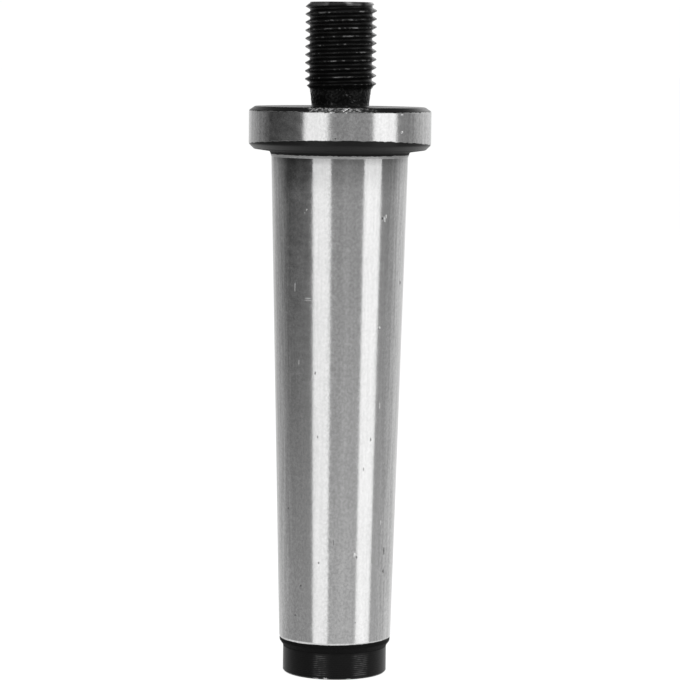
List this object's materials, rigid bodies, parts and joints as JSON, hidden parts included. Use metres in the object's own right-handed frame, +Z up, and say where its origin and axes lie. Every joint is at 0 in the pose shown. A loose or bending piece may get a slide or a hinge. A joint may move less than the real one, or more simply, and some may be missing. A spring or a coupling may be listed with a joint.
{
  "type": "drill chuck arbor",
  "caption": "Arbor that carries a drill chuck: Morse taper shank with a tapped small end, a round collar and a threaded stud.",
  "frame": {"origin": "middle of the small end face, on which the arbor stands", "axes": "+Z up the axis, from the small end of the taper to the tip of the threaded stud"},
  "size_m": [0.024, 0.024, 0.0887],
  "materials": {
    "steel": "ground bright on the taper and the collar's rim, blackened everywhere else"
  },
  "bodies": {
    "root": {"arbor": "steel"}
  },
  "joints": []
}
